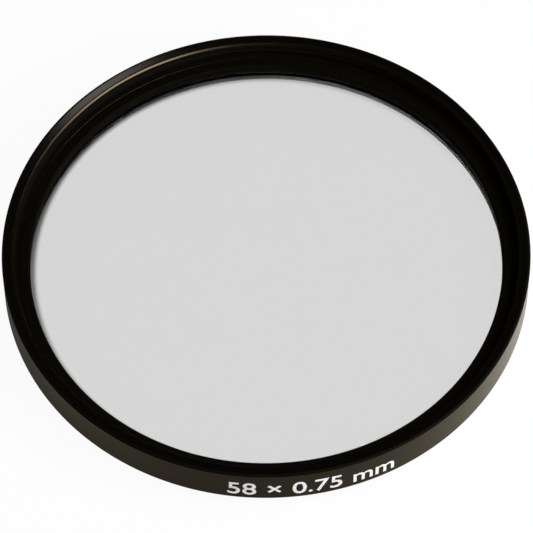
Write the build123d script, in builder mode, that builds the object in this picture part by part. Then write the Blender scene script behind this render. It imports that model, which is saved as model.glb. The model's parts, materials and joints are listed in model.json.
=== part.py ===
from build123d import *
import os

# A screw-in camera lens filter: a turned metal ring, a flat disc of neutral grey glass, and the thin ring
# that holds the glass on its ledge. Millimetres, +Z towards the subject, origin at the centre of the rear end.

# Filter thread: the male thread at the rear and the female thread in the front have the same size
thread_diameter = 58.0
thread_pitch = 0.75
thread_height_per_pitch = 0.5413

# Spigot: the narrow rear end that carries the male thread
spigot_length = 1.9
spigot_wall = 1.1
spigot_lead = 0.3
spigot_groove_width = 0.45
spigot_groove_depth = 0.5
shoulder_relief = 0.1

# Rim: the smooth outer band that fingers turn, with a shoulder that seats on the lens
rim_overhang = 1.0
rim_edge = 0.15

# Front well: the female thread above the retaining ring
well_depth = 2.2
well_mouth_chamfer = 0.25
well_groove_width = 0.35
well_groove_depth = 0.45

# Ledge that the glass lies on
ledge_height = 1.5
ledge_width = 0.65
ledge_chamfer = 0.8

# Glass
glass_thickness = 2.0
glass_bevel = 0.15
glass_clearance = 0.05
glass_stand_proud = 0.2

# Retaining ring
retainer_height = 1.1
retainer_overlap = 0.95
retainer_clearance = 0.05
retainer_bore_step = 0.4
retainer_chamfer = 0.2

# Radii, from the thread inwards and outwards
thread_radius = thread_diameter / 2
rim_radius = thread_radius + rim_overhang
well_radius = thread_radius - thread_height_per_pitch * thread_pitch
retainer_bore_radius = well_radius - retainer_bore_step
retainer_radius = retainer_bore_radius - retainer_clearance
pocket_radius = thread_radius - spigot_wall
glass_radius = pocket_radius - glass_clearance
retainer_opening_radius = glass_radius - retainer_overlap
ledge_radius = pocket_radius - ledge_width

# Heights above the rear end, from the ledge up through glass and retaining ring to the front face
glass_front = ledge_height + glass_thickness
pocket_top = glass_front - glass_stand_proud
well_floor = glass_front + retainer_height
front_face = well_floor + well_depth

os.makedirs("parts", exist_ok=True)


def round_edges(part, height):
    """The round edges of a turned piece at one height, from the innermost out."""
    level = [edge for edge in part.edges().filter_by(GeomType.CIRCLE) if abs(edge.center().Z - height) < 1e-4]
    return ShapeList(level).sort_by(SortBy.RADIUS)


# Filter ring: one stepped section, turned about the optical axis
with BuildPart() as filter_ring:
    with BuildSketch(Plane.XZ):
        with BuildLine():
            Polyline(
                (ledge_radius, 0),
                (thread_radius, 0),
                (thread_radius, spigot_length),
                (rim_radius, spigot_length),
                (rim_radius, front_face),
                (well_radius, front_face),
                (well_radius, well_floor),
                (retainer_bore_radius, well_floor),
                (retainer_bore_radius, pocket_top),
                (pocket_radius, pocket_top),
                (pocket_radius, ledge_height),
                (ledge_radius, ledge_height),
                close=True,
            )
        make_face()
    revolve(axis=Axis.Z)

    # Run-out grooves at the inner end of each thread. The rear one also relieves the corner of the shoulder,
    # so that the shoulder seats flat on the lens.
    with BuildSketch(Plane.XZ):
        with Locations((thread_radius + shoulder_relief, spigot_length + shoulder_relief)):
            Rectangle(
                spigot_groove_depth + shoulder_relief,
                spigot_groove_width + shoulder_relief,
                align=(Align.MAX, Align.MAX),
            )
        with Locations((well_radius, well_floor)):
            Rectangle(2 * well_groove_depth, well_groove_width, align=(Align.CENTER, Align.MIN))
    revolve(axis=Axis.Z, mode=Mode.SUBTRACT)

    # Broken corners of the rim, the thread's lead-in, the mouth of the well and the rear of the ledge
    chamfer(round_edges(filter_ring, front_face)[-1], rim_edge)
    chamfer(round_edges(filter_ring, front_face)[0], well_mouth_chamfer)
    chamfer(round_edges(filter_ring, spigot_length)[-1], rim_edge)
    chamfer(round_edges(filter_ring, 0)[-1], spigot_lead)
    chamfer(round_edges(filter_ring, 0)[0], ledge_chamfer)

filter_ring.part.label = "filter_ring"
export_step(filter_ring.part, "parts/filter_ring.step")


# Glass: a flat disc with ground edges, lying on the ledge
with BuildPart() as glass:
    with BuildSketch(Plane.XY.offset(ledge_height)):
        Circle(glass_radius)
    extrude(amount=glass_thickness)
    chamfer(glass.edges().filter_by(GeomType.CIRCLE), glass_bevel)

glass.part.label = "glass"
export_step(glass.part, "parts/glass.step")


# Retaining ring: screwed down on the glass, with its inner front edge bevelled
with BuildPart() as retaining_ring:
    with BuildSketch(Plane.XY.offset(glass_front)):
        Circle(retainer_radius)
        Circle(retainer_opening_radius, mode=Mode.SUBTRACT)
    extrude(amount=retainer_height)
    chamfer(round_edges(retaining_ring, well_floor)[0], retainer_chamfer)

retaining_ring.part.label = "retaining_ring"
export_step(retaining_ring.part, "parts/retaining_ring.step")
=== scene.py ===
"""Looks of a screw-in lens filter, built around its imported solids. Metres, +Z towards the subject."""

import json
import math

import bmesh
import bpy
import numpy as np
from mathutils import Matrix, Vector


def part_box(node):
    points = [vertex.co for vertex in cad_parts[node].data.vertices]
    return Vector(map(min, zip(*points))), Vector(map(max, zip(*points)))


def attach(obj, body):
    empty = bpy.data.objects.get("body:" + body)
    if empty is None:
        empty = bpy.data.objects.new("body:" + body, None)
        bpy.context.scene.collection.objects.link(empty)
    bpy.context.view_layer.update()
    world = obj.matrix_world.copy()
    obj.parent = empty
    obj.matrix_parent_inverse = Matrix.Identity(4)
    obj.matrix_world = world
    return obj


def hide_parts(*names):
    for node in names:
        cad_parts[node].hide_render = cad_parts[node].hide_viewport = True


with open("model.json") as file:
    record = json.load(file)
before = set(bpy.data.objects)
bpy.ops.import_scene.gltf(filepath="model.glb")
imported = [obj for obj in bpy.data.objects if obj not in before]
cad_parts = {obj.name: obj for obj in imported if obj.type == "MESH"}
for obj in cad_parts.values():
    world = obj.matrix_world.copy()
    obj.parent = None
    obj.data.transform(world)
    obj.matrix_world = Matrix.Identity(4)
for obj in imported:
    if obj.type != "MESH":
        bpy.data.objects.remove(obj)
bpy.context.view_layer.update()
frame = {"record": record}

mm = 0.001

# Sizes that the frame gives
mounts = {mount["name"]: mount for mount in frame["record"]["mounts"]}
ring_low, ring_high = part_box("filter_ring")
glass_low, glass_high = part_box("glass")
retainer_low, retainer_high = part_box("retaining_ring")
thread_radius = mounts["rear_thread"]["dims"]["r_mm"] * mm
well_radius = mounts["front_thread"]["dims"]["r_mm"] * mm
shoulder_z = mounts["shoulder"]["pos_m"][2]
rear_z = ring_low.z
front_z = ring_high.z
rim_radius = ring_high.x

# Threads, with their flats as shares of the pitch
thread_pitch = 0.75 * mm
male_root_depth = 0.6134 * thread_pitch
male_crest_flat = 1 / 8
male_root_flat = 1 / 6
female_root_gap = 0.02 * mm
female_crest_flat = 1 / 4
female_root_flat = 1 / 8

# Section of the solids, where the frame gives no size
spigot_lead = 0.3 * mm
spigot_groove_width = 0.45 * mm
spigot_groove_depth = 0.5 * mm
spigot_wall = 1.1 * mm
shoulder_relief = 0.1 * mm
rim_edge = 0.15 * mm
well_mouth_chamfer = 0.25 * mm
well_groove_width = 0.35 * mm
well_groove_depth = 0.45 * mm
ledge_width = 0.65 * mm
ledge_chamfer = 0.8 * mm
glass_bevel = 0.15 * mm
glass_stand_proud = 0.2 * mm
retainer_clearance = 0.05 * mm
retainer_overlap = 0.95 * mm
retainer_chamfer = 0.2 * mm

# Finer forms: roundings, the front face's shallow dish and the print, which stays inside the rim's radius
fine_round = 0.03 * mm
soft_round = 0.08 * mm
face_dish = 0.11 * mm
face_crown = 0.12 * mm
mouth_crown = 0.06 * mm
mouth_length = 0.24 * mm
edge_band = 0.16 * mm
print_thickness = 0.012 * mm
print_depth = 2 * print_thickness

# Radii and heights along the ring's section
wall_radius = rim_radius - print_thickness
rear_end_radius = thread_radius - spigot_lead
spigot_groove_z = shoulder_z - spigot_groove_width
spigot_groove_radius = thread_radius - spigot_groove_depth
relief_z = shoulder_z + shoulder_relief
relief_radius = thread_radius + shoulder_relief
face_radius = wall_radius - rim_edge
dish_radius = face_radius - edge_band
mouth_radius = well_radius + well_mouth_chamfer
mouth_z = front_z - face_dish
dish_z = front_z - face_dish * edge_band / (face_radius - mouth_radius)
mouth_drop = mouth_length / math.sqrt(2)
well_top = mouth_z - mouth_drop
well_floor = retainer_high.z
well_groove_z = well_floor + well_groove_width
well_groove_radius = well_radius + well_groove_depth
bore_radius = retainer_high.x + retainer_clearance
pocket_radius = thread_radius - spigot_wall
pocket_top = glass_high.z - glass_stand_proud
ledge_radius = pocket_radius - ledge_width
ledge_chamfer_z = rear_z + ledge_chamfer

# Turned meshes
segments = 360
turns = np.arange(segments + 1) / segments
round_steps = 5
weld_distance = 2e-7
flat_margin = 0.012 * mm
sharp_angle = math.radians(32)


def level(radius, height):
    """One round line of a turned piece."""
    return np.full_like(turns, radius), np.full_like(turns, height)


def run(corners):
    """Round lines along a stretch of section.

    Corners are (radius, height, rounding), and the two ends stay plain. The rounding is the length taken
    off the sides before and after a corner, one for both or a pair. A line beside it keeps each side flat.
    """
    lines = [level(*corners[0][:2])]
    for before, corner, after in zip(corners, corners[1:], corners[2:]):
        point = Vector(corner[:2])
        off_before, off_after = np.broadcast_to(corner[2], 2)
        to_before = (Vector(before[:2]) - point).normalized()
        to_after = (Vector(after[:2]) - point).normalized()
        start = point + to_before * float(off_before)
        end = point + to_after * float(off_after)
        lines.append(level(*(start + to_before * flat_margin)))
        for step in range(round_steps + 1):
            share = step / round_steps
            curve = start * (1 - share) ** 2 + point * 2 * share * (1 - share) + end * share**2
            lines.append(level(*curve))
        lines.append(level(*(end + to_after * flat_margin)))
    lines.append(level(*corners[-1][:2]))
    return lines


def thread(start, end, crest, root, crest_flat, root_flat, cone):
    """Lines along a right-hand thread between two heights, cut back by the cone at its open end."""
    low, high = min(start, end), max(start, end)
    places = [crest_flat / 2, 0.5 - root_flat / 2, 0.5 + root_flat / 2, 1 - crest_flat / 2]
    radii = [crest, crest, root, root, crest, crest]
    limit = np.minimum if crest > root else np.maximum
    first = math.floor(low / thread_pitch) - 2
    last = math.ceil(high / thread_pitch) + 1
    heights = [thread_pitch * (turn + place + turns) for turn in range(first, last) for place in places]
    inside = [height for height in heights if height.max() > low and height.min() < high]
    lines = []
    for height in [np.full_like(turns, low), *inside, np.full_like(turns, high)]:
        z = np.clip(height, low, high)
        radius = np.interp((z / thread_pitch - turns) % 1, [0, *places, 1], radii)
        lines.append((limit(radius, cone(z)), z))
    return lines if start < end else lines[::-1]


def turned(name, lines, closed=True):
    """A mesh piece from the lines of its section, in order."""
    radius = np.array([line[0] for line in lines])
    height = np.array([line[1] for line in lines])
    angle = 2 * np.pi * turns
    points = np.stack([radius * np.cos(angle), radius * np.sin(angle), height], axis=-1).reshape(-1, 3)
    across = segments + 1
    faces = []
    for i in range(len(lines) if closed else len(lines) - 1):
        a = i * across
        b = (i + 1) % len(lines) * across
        faces += [(a + j, a + j + 1, b + j + 1, b + j) for j in range(segments)]
    mesh = bpy.data.meshes.new(name)
    mesh.from_pydata(points.tolist(), [], faces)
    return finished(name, mesh)


def finished(name, mesh):
    """Welds a mesh, turns its faces outwards, shades it and puts it in the scene."""
    work = bmesh.new()
    work.from_mesh(mesh)
    bmesh.ops.remove_doubles(work, verts=work.verts, dist=weld_distance)
    bmesh.ops.recalc_face_normals(work, faces=work.faces)
    work.to_mesh(mesh)
    work.free()
    mesh.shade_smooth()
    mesh.set_sharp_from_angle(angle=sharp_angle)
    piece = bpy.data.objects.new(name, mesh)
    bpy.context.scene.collection.objects.link(piece)
    return piece


# Places of the ring's finishes in its list of materials
rim_finish, inside_finish, ledge_painted_light_finish, face_finish, crown_finish = range(5)


def ring_finish(radius, z):
    """The finish of a face of the ring, by its place in the section."""
    if radius < pocket_radius + fine_round:
        if z > glass_low.z + fine_round:
            return inside_finish
        return ledge_painted_light_finish if z > ledge_chamfer_z - fine_round else rim_finish
    if radius < bore_radius + fine_round and z > well_floor - fine_round:
        return crown_finish
    if radius < well_groove_radius and pocket_top - fine_round < z < well_top:
        return inside_finish
    if radius < mouth_radius + mouth_crown and z > well_top:
        return crown_finish
    if radius < dish_radius and z > well_top:
        return face_finish
    if z < shoulder_z - fine_round:
        return face_finish
    return inside_finish if z > front_z - rim_edge else rim_finish


def make_ring():
    """The ring: rear thread, shoulder, rim, front face, front thread, and the steps that hold the glass."""
    male = thread(
        rear_z, spigot_groove_z, thread_radius, thread_radius - male_root_depth,
        male_crest_flat, male_root_flat, lambda z: rear_end_radius + z - rear_z,
    )
    outside = run([
        (spigot_groove_radius, spigot_groove_z, 0),
        (spigot_groove_radius, relief_z, fine_round),
        (relief_radius, relief_z, fine_round),
        (relief_radius, shoulder_z, fine_round),
        (face_radius, shoulder_z, fine_round),
        (wall_radius, shoulder_z + rim_edge, soft_round),
        (wall_radius, front_z - rim_edge, soft_round),
        (face_radius, front_z, soft_round),
        (dish_radius, dish_z, 0),
        (mouth_radius, mouth_z, (face_crown, mouth_crown)),
        (mouth_radius - mouth_drop, well_top, 0),
    ])
    female = thread(
        well_top, well_groove_z, well_radius, thread_radius - female_root_gap,
        female_crest_flat, female_root_flat, lambda z: mouth_radius - mouth_z + z,
    )
    inside = run([
        (well_groove_radius, well_groove_z, 0),
        (well_groove_radius, well_floor, fine_round),
        (bore_radius, well_floor, fine_round),
        (bore_radius, pocket_top, fine_round),
        (pocket_radius, pocket_top, fine_round),
        (pocket_radius, glass_low.z, fine_round),
        (ledge_radius, glass_low.z, fine_round),
        (ledge_radius, ledge_chamfer_z, fine_round),
        (ledge_radius + ledge_chamfer, rear_z, fine_round),
        (rear_end_radius - male_root_depth, rear_z, 0),
    ])
    ring = turned("ring", male + outside + female + inside)
    for face in ring.data.polygons:
        face.material_index = ring_finish(face.center.to_2d().length, face.center.z)
    return ring


def make_retainer():
    """The ring that holds the glass down, with a bevelled inner edge."""
    outer = retainer_high.x
    opening = glass_high.x - retainer_overlap
    low, high = retainer_low.z, retainer_high.z
    middle = (outer + opening) / 2
    return turned("retainer", run([
        (middle, low, 0),
        (outer, low, fine_round),
        (outer, high, fine_round),
        (opening + retainer_chamfer, high, fine_round),
        (opening, high - retainer_chamfer, fine_round),
        (opening, low, fine_round),
        (middle, low, 0),
    ]))


def make_glass():
    """The flat disc with ground edges."""
    radius = glass_high.x
    low, high = glass_low.z, glass_high.z
    return turned("grey_disc", run([
        (0, low, 0),
        (radius - glass_bevel, low, fine_round),
        (radius, low + glass_bevel, fine_round),
        (radius, high - glass_bevel, fine_round),
        (radius - glass_bevel, high, fine_round),
        (0, high, 0),
    ]), closed=False)


# Printed size on the rim
mark_text = "58 × 0.75 mm"
mark_height = 2.45 * mm
mark_middle_z = front_z - 2.83 * mm
mark_angle = math.radians(-80.4)
mark_slice = 0.25 * mm
mark_weight = 0.01


def make_mark():
    """Thin white print of the thread size, wrapped round the rim."""
    curve = bpy.data.curves.new("mark_outline", "FONT")
    curve.body = mark_text
    curve.align_x = "CENTER"
    curve.offset = mark_weight
    outline = bpy.data.objects.new("mark_outline", curve)
    bpy.context.scene.collection.objects.link(outline)
    flat = bpy.data.meshes.new_from_object(outline.evaluated_get(bpy.context.evaluated_depsgraph_get()))
    bpy.data.objects.remove(outline)
    work = bmesh.new()
    work.from_mesh(flat)
    low = min(vert.co.y for vert in work.verts)
    high = max(vert.co.y for vert in work.verts)
    scale = mark_height / (high - low)
    bmesh.ops.transform(work, matrix=Matrix.Scale(scale, 4), verts=work.verts)
    left = min(vert.co.x for vert in work.verts)
    right = max(vert.co.x for vert in work.verts)
    for x in np.arange(left + mark_slice, right, mark_slice):
        everything = work.verts[:] + work.edges[:] + work.faces[:]
        bmesh.ops.bisect_plane(work, geom=everything, plane_co=(x, 0, 0), plane_no=(1, 0, 0))
    grown = bmesh.ops.extrude_face_region(work, geom=work.faces[:])
    raised = {vert for vert in grown["geom"] if isinstance(vert, bmesh.types.BMVert)}
    middle_y = (low + high) / 2 * scale
    for vert in work.verts:
        radius = rim_radius if vert in raised else rim_radius - print_depth
        angle = mark_angle + vert.co.x / rim_radius
        z = mark_middle_z + vert.co.y - middle_y
        vert.co = (radius * math.cos(angle), radius * math.sin(angle), z)
    work.to_mesh(flat)
    work.free()
    return finished("size_mark", flat)


# Black metal: noise across the section for turning lines, noise in space for an uneven sheen
turning_scale = 14000
turning_detail = 3
mottle_scale = 1800
mottle_detail = 4
relief_height = 0.004 * mm
turned_relief = 0.25
fine_relief = 0.1
inside_dark = (0.0026, 0.0021, 0.001)
inside_pale = (0.0048, 0.0039, 0.002)
inside_tint = (1.0, 0.97, 0.9)
# Ledge under the glass: painted light, a grey far paler than its black metal and paler still towards the
# rear, as if lit from below
ledge_painted_light_rear = (0.8, 0.8, 0.8)
ledge_painted_light_front = (0.5, 0.5, 0.5)
ledge_rough = (0.5, 0.65)
ledge_sheen = 0.2

# Glass, with a painted shadow: a dark band from one radius to another, leaning with depth and fading from
# left to right
glass_grey = (0.755, 0.755, 0.755)
glass_rough = (0.0, 0.012)
glass_ior = 1.52
wipe_scale = 90
wipe_detail = 5
painted_shadow_dark = (0.005, 0.005, 0.005)
painted_shadow_centre = Vector((-0.13 * mm, -0.43 * mm))
painted_shadow_start = 25.8 * mm
painted_shadow_end = 26.47 * mm
painted_shadow_slope = 0.33
painted_shadow_left = -30 * mm
painted_shadow_right = 24 * mm

# White print
ink_dark = (0.88, 0.88, 0.86)
ink_pale = (0.94, 0.94, 0.92)
ink_rough = (0.45, 0.6)
grain_scale = 6000
grain_detail = 3


def new_material(name):
    """A material with its nodes, links and main shader."""
    material = bpy.data.materials.new(name)
    material.use_nodes = True
    nodes = material.node_tree.nodes
    return material, nodes, material.node_tree.links, nodes["Principled BSDF"]


def add_node(nodes, kind, **settings):
    """A node with its properties set."""
    node = nodes.new(kind)
    for key, value in settings.items():
        setattr(node, key, value)
    return node


def ranged(nodes, links, value, low, high, start=0, end=1):
    """A value between start and end, stretched from low to high."""
    node = nodes.new("ShaderNodeMapRange")
    links.new(value, node.inputs["Value"])
    node.inputs["From Min"].default_value = start
    node.inputs["From Max"].default_value = end
    node.inputs["To Min"].default_value = low
    node.inputs["To Max"].default_value = high
    return node.outputs["Result"]


def blended(nodes, links, share, first, second):
    """A colour between two, by a share from 0 to 1."""
    node = add_node(nodes, "ShaderNodeMix", data_type="RGBA")
    links.new(share, node.inputs["Factor"])
    node.inputs["A"].default_value = (*first, 1)
    node.inputs["B"].default_value = (*second, 1)
    return node.outputs["Result"]


def noise(nodes, links, vector, scale, detail):
    """A noise texture's value along a coordinate."""
    node = nodes.new("ShaderNodeTexNoise")
    node.inputs["Scale"].default_value = scale
    node.inputs["Detail"].default_value = detail
    links.new(vector, node.inputs["Vector"])
    return node.outputs["Fac"]


def object_place(nodes):
    """Object coordinates."""
    return nodes.new("ShaderNodeTexCoord").outputs["Object"]


def separated(nodes, links, vector):
    """The X, Y and Z of a coordinate."""
    node = nodes.new("ShaderNodeSeparateXYZ")
    links.new(vector, node.inputs["Vector"])
    return node.outputs


def vector_length(nodes, links, vector):
    """The length of a coordinate."""
    node = add_node(nodes, "ShaderNodeVectorMath", operation="LENGTH")
    links.new(vector, node.inputs[0])
    return node.outputs["Value"]


def section_place(nodes, links, place):
    """The place along a turned section: radius and height, the same all the way round."""
    parts = separated(nodes, links, place)
    flat = nodes.new("ShaderNodeCombineXYZ")
    links.new(parts["X"], flat.inputs["X"])
    links.new(parts["Y"], flat.inputs["Y"])
    section = nodes.new("ShaderNodeCombineXYZ")
    links.new(vector_length(nodes, links, flat.outputs["Vector"]), section.inputs["X"])
    links.new(parts["Z"], section.inputs["Z"])
    return section.outputs["Vector"]


def anodised(name, dark, pale, rough, metal, sheen, tint, relief=turned_relief):
    """Black anodised metal: near black, with fine turning lines and a slightly uneven sheen."""
    material, nodes, links, shader = new_material(name)
    place = object_place(nodes)
    turning = noise(nodes, links, section_place(nodes, links, place), turning_scale, turning_detail)
    mottle = noise(nodes, links, place, mottle_scale, mottle_detail)
    links.new(blended(nodes, links, mottle, dark, pale), shader.inputs["Base Color"])
    links.new(ranged(nodes, links, mottle, *rough), shader.inputs["Roughness"])
    shader.inputs["Metallic"].default_value = metal
    shader.inputs["Specular IOR Level"].default_value = sheen
    shader.inputs["Specular Tint"].default_value = (*tint, 1)
    bump = nodes.new("ShaderNodeBump")
    bump.inputs["Strength"].default_value = relief
    bump.inputs["Distance"].default_value = relief_height
    links.new(turning, bump.inputs["Height"])
    links.new(bump.outputs["Normal"], shader.inputs["Normal"])
    return material


def ledge_painted_light():
    """The ledge and its bore under the glass, coloured grey as painted light and paler towards the rear as
    painted light from below.
    """
    material, nodes, links, shader = new_material("seat_black")
    place = object_place(nodes)
    height = separated(nodes, links, place)["Z"]
    rise = ranged(nodes, links, height, 0, 1, ledge_chamfer_z, glass_low.z)
    links.new(blended(nodes, links, rise, ledge_painted_light_rear, ledge_painted_light_front), shader.inputs["Base Color"])
    mottle = noise(nodes, links, place, mottle_scale, mottle_detail)
    links.new(ranged(nodes, links, mottle, *ledge_rough), shader.inputs["Roughness"])
    shader.inputs["Specular IOR Level"].default_value = ledge_sheen
    return material


def grey_glass():
    """Evenly grey polished glass, with a trace of wipe marks and a painted soft shadow along its edge,
    strongest on the left.
    """
    material, nodes, links, shader = new_material("grey_glass")
    place = object_place(nodes)
    parts = separated(nodes, links, place)
    centred = nodes.new("ShaderNodeMapping")
    centred.inputs["Location"].default_value = (-painted_shadow_centre.x, -painted_shadow_centre.y, 0)
    centred.inputs["Scale"].default_value = (1, 1, 0)
    links.new(place, centred.inputs["Vector"])
    # Painted shadow: a soft dark band inside the glass's edge, round an off-centre point, leaning with
    # depth and strongest on the left
    cone = add_node(nodes, "ShaderNodeMath", operation="MULTIPLY_ADD")
    links.new(parts["Z"], cone.inputs[0])
    cone.inputs[1].default_value = painted_shadow_slope
    links.new(vector_length(nodes, links, centred.outputs["Vector"]), cone.inputs[2])
    edge = add_node(nodes, "ShaderNodeMapRange", interpolation_type="SMOOTHSTEP")
    links.new(cone.outputs["Value"], edge.inputs["Value"])
    edge.inputs["From Min"].default_value = painted_shadow_start + painted_shadow_slope * glass_high.z
    edge.inputs["From Max"].default_value = painted_shadow_end + painted_shadow_slope * glass_high.z
    links.new(ranged(nodes, links, parts["X"], 1, 0, painted_shadow_left, painted_shadow_right), edge.inputs["To Max"])
    colour = blended(nodes, links, edge.outputs["Result"], glass_grey, painted_shadow_dark)
    links.new(colour, shader.inputs["Base Color"])
    wipe = noise(nodes, links, place, wipe_scale, wipe_detail)
    links.new(ranged(nodes, links, wipe, *glass_rough), shader.inputs["Roughness"])
    shader.inputs["Transmission Weight"].default_value = 1
    shader.inputs["IOR"].default_value = glass_ior
    return material


def white_print():
    """Matt white printing ink."""
    material, nodes, links, shader = new_material("white_print")
    grain = noise(nodes, links, object_place(nodes), grain_scale, grain_detail)
    links.new(blended(nodes, links, grain, ink_dark, ink_pale), shader.inputs["Base Color"])
    links.new(ranged(nodes, links, grain, *ink_rough), shader.inputs["Roughness"])
    return material


def place_piece(piece, materials, slot, *nodes):
    """Gives a piece its materials and its body, and hides the solids that it stands for. The slot is not
    used.
    """
    for material in materials:
        piece.data.materials.append(material)
    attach(piece, "root")
    if nodes:
        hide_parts(*nodes)


satin = anodised(
    "ring_black", dark=(0.0026, 0.002, 0.0012), pale=(0.0042, 0.0032, 0.002),
    rough=(0.2, 0.28), metal=1, sheen=0.5, tint=(0.89, 0.84, 0.74),
)
matt = anodised(
    "inside_black", dark=inside_dark, pale=inside_pale,
    rough=(0.5, 0.65), metal=0, sheen=0.03, tint=inside_tint,
)
seat = ledge_painted_light()
bright = anodised(
    "face_black", dark=(0.027, 0.024, 0.021), pale=(0.035, 0.031, 0.027),
    rough=(0.07, 0.085), metal=1, sheen=0.5, tint=(0.2, 0.19, 0.17), relief=fine_relief,
)
crown = anodised(
    "crown_black", dark=(0.039, 0.031, 0.019), pale=(0.05, 0.039, 0.0245),
    rough=(0.23, 0.29), metal=1, sheen=0.5, tint=(0.2, 0.18, 0.14),
)
clamp = anodised(
    "retainer_black", dark=inside_dark, pale=inside_pale,
    rough=(0.4, 0.55), metal=0, sheen=0.012, tint=inside_tint,
)
place_piece(make_ring(), (satin, matt, seat, bright, crown), "ring_black", "filter_ring")
place_piece(make_retainer(), (clamp,), "retainer_black", "retaining_ring")
place_piece(make_glass(), (grey_glass(),), "grey_glass", "glass")
place_piece(make_mark(), (white_print(),), "mark_white")


# Stage: a white floor that keeps a faint shadow, and how much of it glows for each kind of ray
floor_size = 12.0
floor_drop = 0.02 * mm
floor_white = (0.9, 0.9, 0.9, 1)
floor_rough = 0.9
floor_glow = {"Is Camera Ray": 0.95, "Is Transmission Ray": 0.85, "Is Glossy Ray": 0.1}
pure_white = (1, 1, 1, 1)
studio_light = 0.07

# Softboxes: name, azimuth and elevation in degrees, distance, width and height in metres, power in watts
softboxes = (
    ("key_right", -20, 52, 0.16, 0.15, 0.09, 0.25),
    ("front_strip", -37, 30, 0.7, 0.62, 0.17, 2.05),
    ("back_strip", 83.33, 62.2, 0.8, 0.028, 0.028, 0.0095),
)


def make_floor():
    """A wide white floor. What the camera and the glass see of it is mostly an even white."""
    mesh = bpy.data.meshes.new("floor")
    half = floor_size / 2
    corners = [(-half, -half), (half, -half), (half, half), (-half, half)]
    mesh.from_pydata([(x, y, rear_z - floor_drop) for x, y in corners], [], [(0, 1, 2, 3)])
    floor = bpy.data.objects.new("floor", mesh)
    bpy.context.scene.collection.objects.link(floor)
    material, nodes, links, shader = new_material("floor_white")
    shader.inputs["Base Color"].default_value = floor_white
    shader.inputs["Roughness"].default_value = floor_rough
    rays = nodes.new("ShaderNodeLightPath")
    share = None
    for kind, weight in floor_glow.items():
        seen = add_node(nodes, "ShaderNodeMath", operation="MULTIPLY_ADD")
        links.new(rays.outputs[kind], seen.inputs[0])
        seen.inputs[1].default_value = weight
        if share:
            links.new(share, seen.inputs[2])
        else:
            seen.inputs[2].default_value = 0
        share = seen.outputs["Value"]
    glow = nodes.new("ShaderNodeEmission")
    glow.inputs["Color"].default_value = pure_white
    mix = nodes.new("ShaderNodeMixShader")
    links.new(share, mix.inputs["Fac"])
    links.new(shader.outputs["BSDF"], mix.inputs[1])
    links.new(glow.outputs["Emission"], mix.inputs[2])
    links.new(mix.outputs["Shader"], nodes["Material Output"].inputs["Surface"])
    mesh.materials.append(material)


def make_world():
    """A dim, even studio."""
    world = bpy.data.worlds.new("studio")
    world.use_nodes = True
    background = world.node_tree.nodes["Background"]
    background.inputs["Color"].default_value = pure_white
    background.inputs["Strength"].default_value = studio_light
    bpy.context.scene.world = world


def make_light(name, azimuth, elevation, distance, width, height, power):
    """A softbox that faces the filter, placed by its direction as seen from there."""
    light = bpy.data.lights.new(name, "AREA")
    light.shape = "RECTANGLE"
    light.size = width
    light.size_y = height
    light.energy = power
    lamp = bpy.data.objects.new(name, light)
    a, e = math.radians(azimuth), math.radians(elevation)
    away = Vector((math.cos(e) * math.cos(a), math.cos(e) * math.sin(a), math.sin(e)))
    lamp.location = away * distance
    lamp.rotation_euler = away.to_track_quat("Z", "Y").to_euler()
    bpy.context.scene.collection.objects.link(lamp)


make_floor()
make_world()
for softbox in softboxes:
    make_light(*softbox)

# Camera: the photograph's angle, with the front face's centre a little above the middle of the frame
image_size = 533
camera_distance = 420 * mm
camera_elevation = math.radians(56.59)
camera_roll = math.radians(0.42)
camera_focal_px = 3703.6
camera_aim = Vector((0.03 * mm, -2.66 * mm, front_z))
camera_sensor = 36
camera_near = 0.01
camera_far = 50


def make_camera():
    """A long lens, as far off as the photograph's slight perspective says."""
    camera = bpy.data.cameras.new("camera")
    camera.sensor_width = camera_sensor
    camera.lens = camera_sensor * camera_focal_px / image_size
    camera.clip_start = camera_near
    camera.clip_end = camera_far
    body = bpy.data.objects.new("camera", camera)
    back = Vector((0, -math.cos(camera_elevation), math.sin(camera_elevation)))
    body.location = Vector((0, 0, front_z)) + back * camera_distance
    look = (camera_aim - body.location).to_track_quat("-Z", "Y").to_matrix().to_4x4()
    body.rotation_euler = (look @ Matrix.Rotation(-camera_roll, 4, "Z")).to_euler()
    bpy.context.scene.collection.objects.link(body)
    bpy.context.scene.camera = body


make_camera()
bpy.context.scene.view_settings.view_transform = "Standard"
